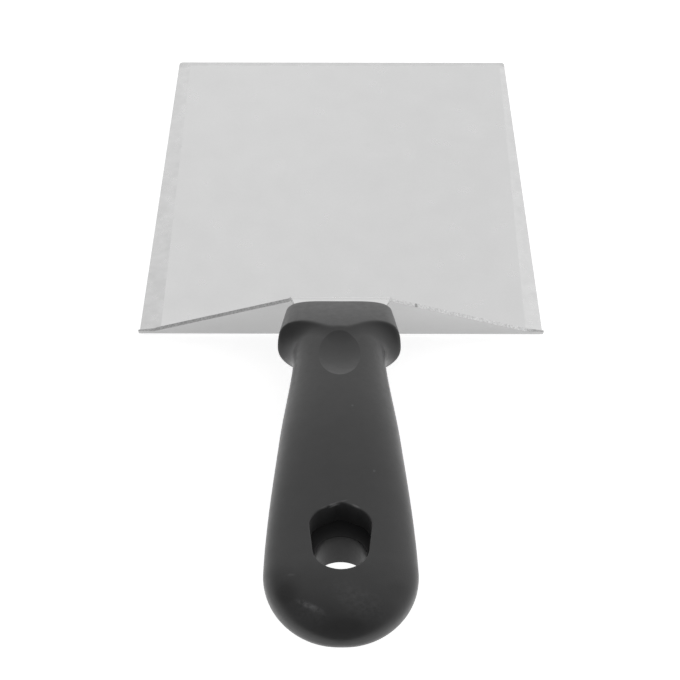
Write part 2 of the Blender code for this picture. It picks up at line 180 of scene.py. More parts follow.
def arc(start, heading, turn):
    """Points and headings along a fold, in the side view; heading is the rise toward -Y."""
    side = 1.0 if turn > 0 else -1.0
    centre = start + side * MIDDLE_RADIUS * Vector((math.sin(heading), math.cos(heading)))
    found = []
    for index in range(FOLD_STEPS + 1):
        angle = heading + turn * index / FOLD_STEPS
        found.append((centre - side * MIDDLE_RADIUS * Vector((math.sin(angle), math.cos(angle))), angle))
    return found


def along(start, heading, length):
    """The point at a distance from another, in the side view."""
    return start + length * Vector((-math.cos(heading), math.sin(heading)))


LOWER_FOLD = arc(Vector((FOLD_START, SHEET / 2)), 0.0, WALL_ANGLE)
FOLD_RISE = MIDDLE_RADIUS * (math.cos(HANDLE_PITCH) - math.cos(WALL_ANGLE))
WALL_FOOT = LOWER_FOLD[-1][0]
WALL_LENGTH = (WALL_HEIGHT - SHEET / 2 - WALL_FOOT.y - FOLD_RISE) / math.sin(WALL_ANGLE)
UPPER_FOLD = arc(along(WALL_FOOT, WALL_ANGLE, WALL_LENGTH), WALL_ANGLE, HANDLE_PITCH - WALL_ANGLE)
HANDLE_FRONT = along(UPPER_FOLD[-1][0], HANDLE_PITCH, TANG_NECK)
HANDLE_SPACE = (Matrix.Translation((0.0, HANDLE_FRONT.x, HANDLE_FRONT.y))
                @ Matrix.Rotation(-HANDLE_PITCH, 4, "X"))


# Blade

FACE, GROUND, CUT, BACK = range(4)
LEFT_STUB = STUB_LENGTH / LEFT_BEVEL[1]
RIGHT_STUB = STUB_LENGTH / RIGHT_BEVEL[1]
# Columns of points: in the left bevel, in the flat and in the right bevel, as shares of a bevel's width
LEFT_SHARES = (0.0, 0.3, LEFT_STUB, 0.82, 1.0)
FLAT_COLUMNS = 14
RIGHT_SHARES = (0.0, 0.4, RIGHT_STUB, 1.0)
SOFT_MARGIN = 0.0008  # between a bevel and the flat's first column
RIGHT_BEVEL_COLUMN = len(LEFT_SHARES) + FLAT_COLUMNS + 1
# The columns that go on up the wall
FIRST_INNER = LEFT_SHARES.index(LEFT_STUB)
LAST_INNER = RIGHT_BEVEL_COLUMN + len(RIGHT_SHARES) - 1 - RIGHT_SHARES.index(RIGHT_STUB)
# Rows of points: round the front corners, over the front bevel, along the flat and up the wall
CORNER_STEPS = 6
BEVEL_SHARES = (0.6, 0.8, 1.0)
FLAT_ROWS = 16
WALL_SHARES = (0.025, 0.05, 0.08, 0.16, 0.3, 0.45, 0.6, 0.75, 0.9, 1.0)
THINNER = 1e-7  # a face that has this much less steel at its four corners is a ground one
BLADE_SHARP = math.radians(35.0)
WORN_FROM = math.radians(50.0)


def bevel_width(bevel, y):
    front = BLADE_LENGTH / 2
    share = min(max((front - y) / (front - FOLD_START), 0.0), 1.0)
    return bevel[0] + (bevel[1] - bevel[0]) * share


def steel_thickness(x, y, in_front=1.0):
    """Thickness of the sheet, ground down toward its front and side edges."""
    ground = SHEET - EDGE_THICKNESS
    side = bevel_width(LEFT_BEVEL if x < 0 else RIGHT_BEVEL, y)
    from_side = EDGE_THICKNESS + ground * (BLADE_WIDTH / 2 - abs(x)) / side
    return min(SHEET, from_side, EDGE_THICKNESS + ground * in_front / FRONT_BEVEL)


def full_row(y, half):
    """Across the blade: the left bevel, the flat, the right bevel."""
    left = BLADE_WIDTH / 2 - bevel_width(LEFT_BEVEL, y)
    right = BLADE_WIDTH / 2 - bevel_width(RIGHT_BEVEL, y)
    row = [-half + (half - left) * share for share in LEFT_SHARES]
    start, end = -left + SOFT_MARGIN, right - SOFT_MARGIN
    row += [start + (end - start) * index / FLAT_COLUMNS for index in range(FLAT_COLUMNS + 1)]
    row += [half - (half - right) * share for share in reversed(RIGHT_SHARES)]
    return row


def front_distances():
    """How far behind the front edge the rows before the lower fold are."""
    behind = [CORNER_RADIUS * (1 - math.sin(turn)) for turn in quarter(CORNER_STEPS)]
    behind += [FRONT_BEVEL * share for share in BEVEL_SHARES]
    flat = BLADE_LENGTH / 2 - FOLD_START - FRONT_BEVEL
    return sorted(behind) + [FRONT_BEVEL + flat * index / FLAT_ROWS for index in range(1, FLAT_ROWS)]


def blade_rows():
    """Rows from the front edge to the tang's end, and how many of them have every column.

    A row is its places across, its middle and heading in the side view, and the thickness at each place.
    """
    rows = []
    for back in front_distances():
        y = BLADE_LENGTH / 2 - back
        inside = max(CORNER_RADIUS - back, 0.0)
        half = BLADE_WIDTH / 2 - CORNER_RADIUS + math.sqrt(CORNER_RADIUS**2 - inside**2)
        xs = full_row(y, half)
        rows.append((xs, Vector((y, SHEET / 2)), 0.0, [steel_thickness(x, y, back) for x in xs]))
    xs = full_row(FOLD_START, BLADE_WIDTH / 2)
    thick = [steel_thickness(x, FOLD_START) for x in xs]
    rows += [(xs, middle, heading, thick) for middle, heading in LOWER_FOLD]
    stub_top = along(WALL_FOOT, WALL_ANGLE, STUB_HEIGHT)
    rows.append((xs, stub_top, WALL_ANGLE, thick))
    whole_rows = len(rows)

    inner = xs[FIRST_INNER:LAST_INNER + 1]
    shoulder = BLADE_WIDTH / 2 - STUB_LENGTH
    wall_top = UPPER_FOLD[0][0]
    for share in WALL_SHARES:
        half = shoulder + (WALL_TOP_WIDTH / 2 - shoulder) * share
        scaled = [x * half / shoulder for x in inner]
        thick = [steel_thickness(x, FOLD_START) for x in scaled]
        rows.append((scaled, stub_top.lerp(wall_top, share), WALL_ANGLE, thick))
    fold_length = MIDDLE_RADIUS * (WALL_ANGLE - HANDLE_PITCH)
    narrowing = (WALL_TOP_WIDTH - TANG_FACE_WIDTH) / 2 / (fold_length + TANG_NECK)
    tail = []
    for index, (middle, heading) in enumerate(UPPER_FOLD[1:], start=1):
        tail.append((WALL_TOP_WIDTH / 2 - narrowing * fold_length * index / FOLD_STEPS, middle, heading))
    for place, width in ((0.0, TANG_FACE_WIDTH), (TANG_TAPER, TANG_WIDTH), (TANG_DEPTH, TANG_WIDTH)):
        tail.append((width / 2, along(HANDLE_FRONT, HANDLE_PITCH, place), HANDLE_PITCH))
    for half, middle, heading in tail:
        scaled = [x * half / shoulder for x in inner]
        rows.append((scaled, middle, heading, [SHEET] * len(scaled)))
    return rows, whole_rows


def build_blade(materials):
    rows, whole_rows = blade_rows()
    skin = Skin()
    under = []
    over = []
    thicknesses = {}
    for xs, middle, heading, thick in rows:
        up = Vector((math.sin(heading), math.cos(heading)))
        low = middle - up * SHEET / 2
        under.append([skin.point(x, low.x, low.y) for x in xs])
        line = []
        for x, steel in zip(xs, thick):
            high = low + up * steel
            line.append(skin.point(x, high.x, high.y))
            thicknesses[line[-1]] = steel
        over.append(line)

    # Over and under the sheet; an edge that only one face has is on the sheet's border
    border = {}
    for index in range(len(rows) - 1):
        if index == whole_rows - 1:
            columns = range(FIRST_INNER, LAST_INNER)
            offset = FIRST_INNER
        else:
            columns = range(len(rows[index][0]) - 1)
            offset = 0
        for column in columns:
            after = column - offset
            corners = ((index, column), (index, column + 1), (index + 1, after + 1), (index + 1, after))
            top = [over[row][place] for row, place in corners]
            ground = sum(thicknesses[corner] for corner in top) < 4 * SHEET - THINNER
            skin.face(top, GROUND if ground else FACE)
            skin.face([under[row][place] for row, place in corners], BACK)
            for one, other in zip(corners, corners[1:] + corners[:1]):
                key = frozenset((one, other))
                border[key] = None if key in border else (one, other)
    for edge in border.values():
        if edge:
            (row, place), (other_row, other_place) = edge
            skin.face((over[row][place], over[other_row][other_place],
                       under[other_row][other_place], under[row][place]), CUT)

    for row in range(whole_rows - 1):
        skin.creases.append((over[row][RIGHT_BEVEL_COLUMN], over[row + 1][RIGHT_BEVEL_COLUMN]))
    front_line = over[front_distances().index(FRONT_BEVEL)]
    skin.creases += zip(front_line, front_line[1:])
    blade = skin.build("blade_sheet", materials, BLADE_SHARP)
    worn = blade.modifiers.new("worn edges", "BEVEL")
    worn.width = WORN_EDGE
    worn.segments = 2
    worn.limit_method = "ANGLE"
    worn.angle_limit = WORN_FROM
    worn.harden_normals = True
    return blade


# Handle

OUTSIDE, POCKET_WALL, LEDGE, BORE = range(4)
TOP, BOTTOM = 1, -1
SWELL_PLACE = HANDLE_LENGTH - SWELL_FROM_END
HOLE_PLACE = HANDLE_LENGTH - HOLE_FROM_END
HANDLE_SHARP = math.radians(32.0)
POINTS_ROUND = 168
# Rows of points: round the front edge, then up to a place no further apart than a gap, then round the end
FRONT_EDGE_ROWS = 5
ROW_GAPS = ((0.0095, 0.0007), (0.0170, 0.00022), (0.0290, 0.0005), (SWELL_PLACE, 0.0011))
END_ROWS = 26
# Blocks of this grid that make way for the dimple and the hole: first place, last place, reach to each side
DIMPLE_BLOCK = (0.0153, 0.0358, 0.0074)
HOLE_BLOCK = (HOLE_PLACE - 0.0138, HOLE_PLACE + 0.0116, 0.0098)
# Loops of points in those blocks, as shares of the way: around is from an edge out to the block's border,
# within from the centre out to the edge, down to the pocket's floor, and across from its wall to the bore
DIMPLE_AROUND = (0.8, 0.62, 0.46, 0.32, 0.2, 0.11, 0.04, 0.012)
DIMPLE_WITHIN = (1.0, 0.985, 0.955, 0.9, 0.83, 0.75, 0.66, 0.56, 0.46, 0.36, 0.26, 0.16, 0.07)
POCKET_AROUND = (0.8, 0.6, 0.42, 0.27, 0.15, 0.06)
POCKET_DOWN = (0.35, 0.7, 0.95, 1.0)
LEDGE_ACROSS = (0.05, 0.5)
BORE_AROUND = (0.75, 0.5, 0.28, 0.12)
POCKET_STEPS = 6
LEDGE_STEPS = 4
LOWER_STEPS = 5
# How finely a curve is followed where its points are looked up
EVEN_SAMPLES = 400
FINE_STEPS = 721
FINE_TURNS = np.linspace(0.0, math.pi, FINE_STEPS)
BETWEEN_CORNERS = 0.05
TINY = 1e-9  # keeps a divisor from being 0


def blend(place, first_place, first, first_slope, second_place, second, second_slope):
    """Smooth curve between two values with a slope at each end."""
    span = second_place - first_place
    t = (place - first_place) / span
    return ((2 * t**3 - 3 * t**2 + 1) * first + (t**3 - 2 * t**2 + t) * span * first_slope
            + (3 * t**2 - 2 * t**3) * second + (t**3 - t**2) * span * second_slope)


def grip_sizes(place):
    """Half width and heights above and below the tang, of the grip alone."""
    if place >= SWELL_PLACE:
        share = min((place - SWELL_PLACE) / SWELL_FROM_END, 1.0)
        plan, side = (max(1.0 - share**fullness, 0.0) ** (1.0 / fullness) for fullness in END_FULLNESS)
        return SWELL[0] * plan, SWELL[1] * side, SWELL[2] * side
    sizes = []
    for neck, grip, swell in zip(NECK, GRIP, SWELL):
        slope = (swell - neck) / (SWELL_PLACE - NECK_PLACE)
        at_neck = (NECK_PLACE, neck, slope * NECK_FLARE)
        at_grip = (GRIP_PLACE, grip, slope * GRIP_FLARE)
        if place >= GRIP_PLACE:
            sizes.append(blend(place, *at_grip, SWELL_PLACE, swell, 0.0))
        else:
            sizes.append(blend(max(place, NECK_PLACE), *at_neck, *at_grip))
    return tuple(sizes)


def scoop(turns, place):
    """How far the hollow behind the guard has risen off the neck: an arc, then straight on up."""
    above = np.sin(turns) >= 0
    from_shoulder = np.abs(np.arcsin(np.sin(turns)) - SCOOP_SHOULDER) / SCOOP_SPREAD
    bite = SCOOP_ADVANCE * np.cos(math.pi / 2 * np.minimum(from_shoulder, 1.0)) ** 2
    back = np.maximum(NECK_PLACE - bite - place, 0.0)
    steep = SCOOP_STEEPEST * SCOOP_RADIUS
    rise = SCOOP_RADIUS - np.sqrt(SCOOP_RADIUS**2 - np.minimum(back, steep) ** 2)
    rise += np.maximum(back - steep, 0.0) * steep / math.sqrt(SCOOP_RADIUS**2 - steep**2)
    share = np.where(above, SCOOP_SHARE_ABOVE, SCOOP_SHARE_BELOW)
    return rise * (np.cos(turns) ** 2 + share * np.sin(turns) ** 2)


def section_radius(turns, sizes, squareness):
    """Distance from the axis to a squared oval, in each direction round it."""
    half_width, above, below = sizes
    height = np.where(np.sin(turns) >= 0, above, below)
    across = np.abs(np.cos(turns)) / half_width
    up = np.abs(np.sin(turns)) / height
    return (across**squareness + up**squareness) ** (-1.0 / squareness)


def guard_radius(turns, place):
    """Distance from the axis to the guard alone, which goes on widening behind its rim."""
    share = place / GUARD_DEPTH
    half_width, above, below = (front + (rim - front) * share for front, rim in zip(GUARD_FRONT, GUARD_RIM))
    above += GUARD_BULGE * (share * (1.0 - share) if share < 1.0 else 1.0 - share)
    inside = max(GUARD_CORNER_RADIUS - place, 0.0)
    half_width -= GUARD_CORNER_RADIUS - math.sqrt(GUARD_CORNER_RADIUS**2 - inside**2)
    front, rim_above, rim_below = GUARD_SQUARENESS
    rim = np.where(np.sin(turns) >= 0, rim_above, rim_below)
    squareness = front + (rim - front) * min(share, 1.0)
    radius = section_radius(turns, (half_width, above, below), squareness)
    if place < FRONT_EDGE_RADIUS:
        inside = FRONT_EDGE_RADIUS - place
        radius = radius - FRONT_EDGE_RADIUS + math.sqrt(FRONT_EDGE_RADIUS**2 - inside**2)
    return radius


def handle_radius(turns, place):
    """The smaller of grip and guard in each direction, with the crest between them a little rounded."""
    grip = section_radius(turns, grip_sizes(place), GRIP_SQUARENESS) + scoop(turns, place)
    guard = guard_radius(turns, place)
    return (guard**-RIM_SOFTNESS + grip**-RIM_SOFTNESS) ** (-1.0 / RIM_SOFTNESS)


def surface_height(x, place, side):
    """Height of the handle's skin at a point of its plan, at the top or the bottom."""
    turns = FINE_TURNS * side
    radius = handle_radius(turns, place)
    return float(np.interp(-x, -radius * np.cos(turns), radius * np.sin(turns)))


def even_turns(count):
    """Directions round a section that put its points at even distances."""
    turns = np.linspace(0.0, math.pi / 2, EVEN_SAMPLES)
    radius = section_radius(turns, (GRIP[0], (GRIP[1] + GRIP[2]) / 2, GRIP[2]), GRIP_SQUARENESS)
    steps = np.hypot(np.diff(radius * np.cos(turns)), np.diff(radius * np.sin(turns)))
    walked = np.concatenate(([0.0], np.cumsum(steps)))
    turns = np.interp(np.linspace(0.0, walked[-1], count // 4 + 1), walked, turns)
    half = np.concatenate((turns, math.pi - turns[-2::-1]))
    return np.concatenate((half, 2 * math.pi - half[-2:0:-1]))


def row_places():
    """How far behind the front face each row of points is."""
    places = [FRONT_EDGE_RADIUS * (1 - math.cos(turn)) for turn in quarter(FRONT_EDGE_ROWS)[:-1]]
    start = FRONT_EDGE_RADIUS
    for end, gap in ROW_GAPS:
        count = math.ceil((end - start) / gap)
        places += [start + (end - start) * index / count for index in range(count)]
        start = end
    places += [SWELL_PLACE + SWELL_FROM_END * math.sin(turn) for turn in quarter(END_ROWS)[:-1]]
    return places


def dimple_edge(direction):
    """Distance of the dimple's edge from its centre."""
    across = math.cos(direction) / (DIMPLE_WIDTH / 2)
    lengthwise = math.sin(direction) / (DIMPLE_LENGTH / 2)
    return 1.0 / math.hypot(across, lengthwise)


def pocket_edge(offset):
    """The pocket's outline about the bore's centre, moved outward, as distance for a direction."""
    corners = []
    for turn in np.linspace(0.0, 2 * math.pi, FINE_STEPS):
        out = (math.cos(turn), math.sin(turn))
        x, back, radius = max(POCKET_CIRCLES, key=lambda c: c[0] * out[0] - c[1] * out[1] + c[2])
        corners.append((x + (radius + offset) * out[0], -back + (radius + offset) * out[1]))
    finely = np.arange(0.0, len(corners) - 1, BETWEEN_CORNERS)
    xs, ys = (np.interp(finely, np.arange(len(corners)), line) for line in zip(*corners))
    angles = np.arctan2(ys, xs)
    order = np.argsort(angles)
    angles, radii = angles[order], np.hypot(xs, ys)[order]
    return lambda direction: float(np.interp(direction, angles, radii, period=2 * math.pi))


def nearest(places, place):
    return min(range(len(places)), key=lambda index: abs(places[index] - place))


def find_block(skin, rings, places, middle, block):
    """First and last row and column of a block; its reach across is measured at its middle."""
    start, end, reach = block
    ring = rings[nearest(places, middle)]
    columns = [index for index in range(len(ring) // 2 + 1) if abs(skin.points[ring[index]][0]) <= reach]
    return nearest(places, start), nearest(places, end), columns[0], columns[-1]


def block_border(rings, first, last, low, high, side):
    """The points round a block, in order."""
    count = len(rings[0])
    way = [(row, low) for row in range(first, last)]
    way += [(last, index) for index in range(low, high)]
    way += [(row, high) for row in range(last, first, -1)]
    way += [(first, index) for index in range(high, low, -1)]
    return [rings[row][index if side == TOP else (count - index) % count] for row, index in way]


class Patch:
    """Loops of points that close in on a centre from the border of a block."""

    def __init__(self, skin, border, centre_place, side):
        self.skin = skin
        self.last = border
        self.centre_place = centre_place
        self.side = side
        plan = [(skin.points[corner][0], skin.points[corner][1] + centre_place) for corner in border]
        self.rays = [(math.atan2(y, x), math.hypot(x, y)) for x, y in plan]

    def inward(self, reach, rise=0.0, level=None, finish=OUTSIDE):
        """The next loop: reach gives its distance for a direction and the border's distance there.

        It lies on the handle's skin, or at a level, raised by rise.
        """
        made = []
        for direction, border_reach in self.rays:
            distance = reach(direction, border_reach)
            x = distance * math.cos(direction)
            y = distance * math.sin(direction) - self.centre_place
            z = surface_height(x, -y, self.side) if level is None else level
            made.append(self.skin.point(x, y, z + rise))
        self.join(made, finish)

    def down(self, level, shares, finish):
        """Loops straight down from the last one to a level."""
        start = [self.skin.points[corner] for corner in self.last]
        for share in shares:
            self.join([self.skin.point(x, y, z + (level - z) * share) for x, y, z in start], finish)

    def join(self, made, finish):
        self.skin.band(self.last, made, finish)
        self.last = made


def shape_dimple(skin, border):
    dimple = Patch(skin, border, DIMPLE_PLACE, TOP)
    for share in DIMPLE_AROUND:
        dimple.inward(lambda d, far: dimple_edge(d) + (far - dimple_edge(d)) * share)
    for share in DIMPLE_WITHIN:
        dimple.inward(lambda d, far: dimple_edge(d) * share, -DIMPLE_DEPTH * (1 - share**2))
    middle = skin.point(0.0, -DIMPLE_PLACE, surface_height(0.0, DIMPLE_PLACE, TOP) - DIMPLE_DEPTH)
    skin.fan(dimple.last, middle)


def shape_hole(skin, border, lower_border):
    """The pocket's mouth and wall, the ledge round the bore, the bore and its lower mouth."""
    pocket = Patch(skin, border, HOLE_PLACE, TOP)
    outer = pocket_edge(POCKET_ROUNDING)
    for share in POCKET_AROUND:
        pocket.inward(lambda d, far: outer(d) + (far - outer(d)) * share)
    for bend in quarter(POCKET_STEPS):
        edge = pocket_edge(POCKET_ROUNDING * (1 - math.sin(bend)))
        pocket.inward(lambda d, far: edge(d), -POCKET_ROUNDING * (1 - math.cos(bend)))
    pocket.down(POCKET_FLOOR, POCKET_DOWN, POCKET_WALL)
    wall = pocket_edge(0.0)
    for share in LEDGE_ACROSS:
        pocket.inward(lambda d, far: wall(d) + (BORE_RADIUS + LEDGE_ROUNDING - wall(d)) * share,
                      level=POCKET_FLOOR, finish=LEDGE)
    for bend in quarter(LEDGE_STEPS):
        pocket.inward(lambda d, far: BORE_RADIUS + LEDGE_ROUNDING * (1 - math.sin(bend)),
                      -LEDGE_ROUNDING * (1 - math.cos(bend)), POCKET_FLOOR, BORE if bend else LEDGE)

    mouth = Patch(skin, lower_border, HOLE_PLACE, BOTTOM)
    for share in BORE_AROUND:
        mouth.inward(lambda d, far: BORE_RADIUS + LOWER_ROUNDING
                     + (far - BORE_RADIUS - LOWER_ROUNDING) * share)
    for bend in quarter(LOWER_STEPS):
        mouth.inward(lambda d, far: BORE_RADIUS + LOWER_ROUNDING * (1 - math.sin(bend)),
                     LOWER_ROUNDING * (1 - math.cos(bend)))
    skin.band(mouth.last, pocket.last, BORE)


def shape_slot(skin, turns, front_ring):
    """The front face, with the slot that the tang goes into."""
    lead = math.hypot(TANG_TAPER, (TANG_FACE_WIDTH - TANG_WIDTH) / 2) / TANG_TAPER
    half_height = SHEET / 2 + TANG_CLEARANCE
    mouth = handle_radius(turns, 0.0)[0] - SLOT_MARGIN
    inner = TANG_WIDTH / 2 + TANG_CLEARANCE
    last = front_ring
    for depth, half in ((0.0, mouth), (SLOT_LIP, TANG_FACE_WIDTH / 2 + TANG_CLEARANCE * lead),
                        (TANG_TAPER, inner), (TANG_DEPTH + TANG_CLEARANCE, inner)):
        ring = []
        for turn in turns:
            across = max(abs(math.cos(turn)), TINY)
            up = max(abs(math.sin(turn)), TINY)
            reach = min(half / across, half_height / up)
            ring.append(skin.point(reach * math.cos(turn), -depth, reach * math.sin(turn)))
        skin.band(last, ring)
        last = ring
    skin.face(last)


def build_handle(materials):
    skin = Skin()
    places = row_places()
    turns = even_turns(POINTS_ROUND)
    count = len(turns)
    rings = []
    for place in places:
        radius = handle_radius(turns, place)
        rings.append([skin.point(r * math.cos(t), -place, r * math.sin(t)) for r, t in zip(radius, turns)])
    tip = skin.point(0.0, -HANDLE_LENGTH, 0.0)

    dimple = find_block(skin, rings, places, DIMPLE_PLACE, DIMPLE_BLOCK)
    hole = find_block(skin, rings, places, HOLE_PLACE, HOLE_BLOCK)
    taken = set()
    for (first, last, low, high), side in ((dimple, TOP), (hole, TOP), (hole, BOTTOM)):
        for row in range(first, last):
            for index in range(low, high):
                taken.add((row, index if side == TOP else count - 1 - index))
    for row, (ring, behind) in enumerate(zip(rings, rings[1:])):
        for index in range(count):
            if (row, index) not in taken:
                after = (index + 1) % count
                skin.face((ring[index], ring[after], behind[after], behind[index]))
    skin.fan(rings[-1], tip)
    shape_dimple(skin, block_border(rings, *dimple, TOP))
    shape_hole(skin, block_border(rings, *hole, TOP), block_border(rings, *hole, BOTTOM))
    shape_slot(skin, turns, rings[0])

    askew = [Vector((x - HANDLE_TURN * (y + TURN_PLACE), y, z)) for x, y, z in skin.points]
    skin.points = [tuple(HANDLE_SPACE @ point) for point in askew]
    return skin.build("moulded_handle", materials, HANDLE_SHARP)


# Materials

# Faint smudges on the steel, and a painted dark reflection along the upper fold: place, reach, change of
# level
SMUDGES_AND_FOLD_SHADE = (((0.008, 0.018, 0.001), (0.0016, 0.0016, 0.004), 0.985),
           ((0.0156, 0.0189, 0.001), (0.002, 0.0012, 0.004), 0.985),
           ((0.012, 0.013, 0.001), (0.006, 0.0022, 0.004), 1.012),
           # The last two are a painted dark reflection along the upper fold: a narrow line and a broader
           # band
           ((0.0, -0.0666, 0.0190), (0.3, 0.0011, 0.0011), 0.90),
           ((0.0, -0.0674, 0.0193), (0.3, 0.0030, 0.0030), 0.965))
# A nick in the wall's right edge
NICK_PLACE = (0.0197, -0.0652, 0.0147)
NICK_REACH = (0.0006, 0.0020, 0.0007)
# Scuffs on the handle, a painted highlight on the pocket's front lip and painted shade in dark bands over
# the butt: place, turn, reach, how much lighter or, below 0, darker
SCUFFS_HIGHLIGHT_AND_SHADE = (((-0.0056, -0.1707, 0.0427), -0.53, (0.0040, 0.0009, 0.004), 3.0),
          ((-0.0060, -0.1718, 0.0427), -0.5, (0.0060, 0.0030, 0.005), 0.7),
          ((0.0036, -0.1696, 0.0430), -0.6, (0.0085, 0.0045, 0.006), 1.0),
          ((-0.0096, -0.1634, 0.0421), -0.1, (0.0012, 0.0004, 0.003), 2.0),
          # Painted highlight along the pocket's front lip, and on a fleck of flash at its right
          ((-0.0013, -0.1454, 0.0399), 0.40, (0.0038, 0.00045, 0.0009), 5.0),
          ((0.0032, -0.1459, 0.0399), -0.55, (0.0015, 0.0004, 0.0009), 3.5),
          ((0.0072, -0.1355, 0.0380), 0.0, (0.0004, 0.0006, 0.003), 3.0),
          ((0.0027, -0.1153, 0.0350), 0.0, (0.0004, 0.0005, 0.003), 2.0),
          # Painted shade: dark bands over the butt, at the left, at the end and at the right
          ((-0.0108, -0.1672, 0.0417), 0.3, (0.0048, 0.0034, 0.005), -0.5),
          ((0.0008, -0.1745, 0.0422), 0.0, (0.0070, 0.0024, 0.005), -0.4),
          ((0.0118, -0.1665, 0.0414), -0.3, (0.0036, 0.0030, 0.005), -0.35))


def add(tree, kind, inputs=(), **settings):
    """A shader node with its inputs set or linked."""
    node = tree.nodes.new(kind)
    for name, value in settings.items():
        setattr(node, name, value)
    for key, value in dict(inputs).items():
        if isinstance(value, bpy.types.NodeSocket):
            tree.links.new(value, node.inputs[key])
        else:
            node.inputs[key].default_value = value
    return node


def noise(tree, at, scale, detail, roughness=0.5, stretch=(1.0, 1.0, 1.0)):
    mapped = add(tree, "ShaderNodeMapping", {"Vector": at, "Scale": stretch})
    node = add(tree, "ShaderNodeTexNoise", {"Vector": mapped.outputs["Vector"], "Scale": scale,
                                           "Detail": detail, "Roughness": roughness})
    return node.outputs["Fac"]


def ranged(tree, value, low, high, to_low, to_high, kind="LINEAR"):
    """A value between two ends, brought between two others."""
    node = add(tree, "ShaderNodeMapRange", {"Value": value, "From Min": low, "From Max": high,
                                           "To Min": to_low, "To Max": to_high}, interpolation_type=kind)
    return node.outputs["Result"]


def mottled(tree, at, to_low, to_high, scale, detail, roughness=0.5, low=0.3, high=0.7):
    """Noise that varies between two values."""
    return ranged(tree, noise(tree, at, scale, detail, roughness), low, high, to_low, to_high)


def maths(tree, operation, first, second):
    return add(tree, "ShaderNodeMath", {0: first, 1: second}, operation=operation).outputs["Value"]


def graded(tree, level, value, low, high, to_low, to_high):
    """A level times a factor that follows another value."""
    return maths(tree, "MULTIPLY", level, ranged(tree, value, low, high, to_low, to_high))


def axes(tree, at):
    return add(tree, "ShaderNodeSeparateXYZ", {0: at}).outputs


def spot(tree, at, place, angle, reach):
    """1 round a place, falling to 0 from a fifth of the reach of a turned oval to its whole reach."""
    mapped = add(tree, "ShaderNodeMapping", {"Vector": at, "Location": place, "Rotation": (0.0, 0.0, angle),
                                            "Scale": reach}, vector_type="TEXTURE")
    away = add(tree, "ShaderNodeVectorMath", {0: mapped.outputs["Vector"]}, operation="LENGTH")
    return ranged(tree, away.outputs["Value"], 0.2, 1.0, 1.0, 0.0, "SMOOTHSTEP")


def started(name, metallic):
    """A new material with its node tree, its shader and the coordinates on the object."""
    made = bpy.data.materials.new(name)
    made.use_nodes = True
    tree = made.node_tree
    shader = tree.nodes["Principled BSDF"]
    shader.inputs["Metallic"].default_value = metallic
    return made, tree, shader, add(tree, "ShaderNodeTexCoord").outputs["Object"]


def coloured(tree, shader, colour, level):
    """Gives the shader a colour, made lighter or darker by a level round 1."""
    node = add(tree, "ShaderNodeVectorMath", {0: colour, "Scale": level}, operation="SCALE")
    tree.links.new(node.outputs["Vector"], shader.inputs["Base Color"])


def bump(tree, shader, heights, distance):
    node = add(tree, "ShaderNodeBump", {"Height": heights, "Strength": 1.0, "Distance": distance})
    tree.links.new(node.outputs["Normal"], shader.inputs["Normal"])


def satin_steel(name, brightness, painted_shade_at_foot=1.0, painted_shading_at_right=1.0, painted_light_at_rear=1.025):
    """Satin sheet with painted light and shade: its level changes toward the wall's foot, the right and the
    rear.
    """
    made, tree, shader, at = started(name, metallic=1.0)
    cloudy = mottled(tree, at, 0.988, 1.012, scale=55.0, detail=4.0)
    fine = mottled(tree, at, 0.994, 1.006, scale=1400.0, detail=2.0)
    level = maths(tree, "MULTIPLY", cloudy, fine)
    for place, reach, change in SMUDGES_AND_FOLD_SHADE:
        level = graded(tree, level, spot(tree, at, place, 0.0, reach), 0.0, 1.0, 1.0, change)
    apart = axes(tree, at)
    # Painted shade toward the wall's foot, painted light or shade toward the right, painted light toward
    # the rear
    level = graded(tree, level, apart["Z"], 0.001, 0.012, painted_shade_at_foot, 1.0)
    level = graded(tree, level, apart["X"], -0.02, 0.03, 1.0, painted_shading_at_right)
    level = graded(tree, level, apart["Y"], -0.06, 0.0, painted_light_at_rear, 1.0)
    coloured(tree, shader, (brightness, brightness, brightness), level)
    rough = mottled(tree, at, 0.27, 0.33, scale=130.0, detail=3.0)
    tree.links.new(rough, shader.inputs["Roughness"])
    grain = noise(tree, at, scale=1.0, detail=2.0, roughness=0.6, stretch=(2600.0, 120.0, 120.0))
    bump(tree, shader, grain, distance=0.0000012)
    return made


def steel_ground():
    """The bevels: darker at the front edge, and at the rear painted shade at the left and painted light at
    the right.
    """
    made, tree, shader, at = started("ground_steel", metallic=1.0)
    patches = mottled(tree, at, 1.02, 0.95, scale=210.0, detail=4.0, roughness=0.6, low=0.35)
    apart = axes(tree, at)
    front = ranged(tree, apart["Y"], 0.0585, 0.0605, 1.0, 0.87)
    # Painted light and shade: toward the rear the right is lighter and the left darker
    right = ranged(tree, apart["X"], -0.05, 0.05, -0.02, 0.06)
    right = graded(tree, right, apart["Y"], -0.06, 0.02, 1.0, 0.0)
    level = maths(tree, "MULTIPLY", patches, maths(tree, "ADD", front, right))
    coloured(tree, shader, (0.77, 0.77, 0.77), level)
    rough = mottled(tree, at, 0.26, 0.36, scale=500.0, detail=3.0)
    tree.links.new(rough, shader.inputs["Roughness"])
    marks = noise(tree, at, scale=1.0, detail=2.0, roughness=0.6, stretch=(700.0, 4200.0, 700.0))
    bump(tree, shader, marks, distance=0.000003)
    return made


def steel_cut():
    """The sheared edges: torn, painted lighter at the right, with one dark nick."""
    made, tree, shader, at = started("sheared_steel", metallic=1.0)
    level = mottled(tree, at, 0.78, 1.12, scale=1900.0, detail=3.0, roughness=0.6, low=0.35, high=0.65)
    # Painted light: the right-hand edges lighter than the left
    level = graded(tree, level, axes(tree, at)["X"], -0.01, 0.01, 1.0, 1.13)
    level = graded(tree, level, spot(tree, at, NICK_PLACE, 0.0, NICK_REACH), 0.0, 0.7, 1.0, 0.5)
    coloured(tree, shader, (0.68, 0.68, 0.68), level)
    shader.inputs["Roughness"].default_value = 0.36
    torn = noise(tree, at, scale=1800.0, detail=3.0, roughness=0.6)
    bump(tree, shader, torn, distance=0.00005)
    return made


